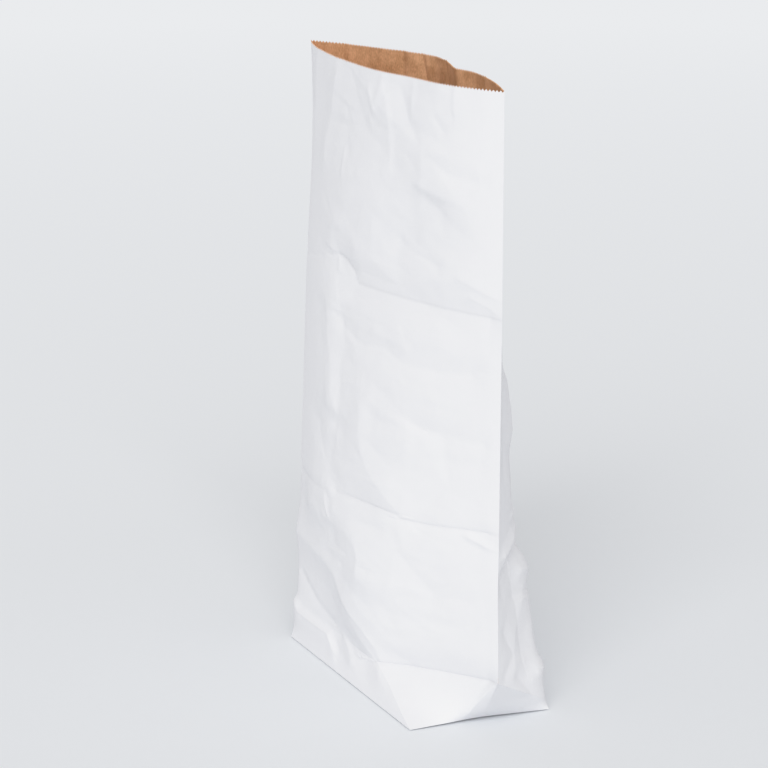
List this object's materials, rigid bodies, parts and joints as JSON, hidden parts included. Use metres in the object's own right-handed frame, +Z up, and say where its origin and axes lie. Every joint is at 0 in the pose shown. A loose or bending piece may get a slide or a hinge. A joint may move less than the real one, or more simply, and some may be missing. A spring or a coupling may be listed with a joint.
{
  "type": "paper sack",
  "caption": "Tall open upright paper sack with a flat folded bottom, creased side edges, cross folds and a saw-cut mouth, white outside and brown inside.",
  "frame": {"origin": "centre of the flat base, on the surface the sack stands on", "axes": "+Z up to the mouth, X along the long side of the base with the near side crease at +X, the broad front face looks along -Y"},
  "size_m": [0.479, 0.154, 0.6182],
  "materials": {
    "white_paper": "uncoated matt white sack paper outside and at the cut edge, plain brown kraft inside",
    "brown_paper": "uncoated matt brown kraft paper, the inside of the sack"
  },
  "bodies": {
    "root": {"sack": "white_paper"}
  },
  "joints": []
}
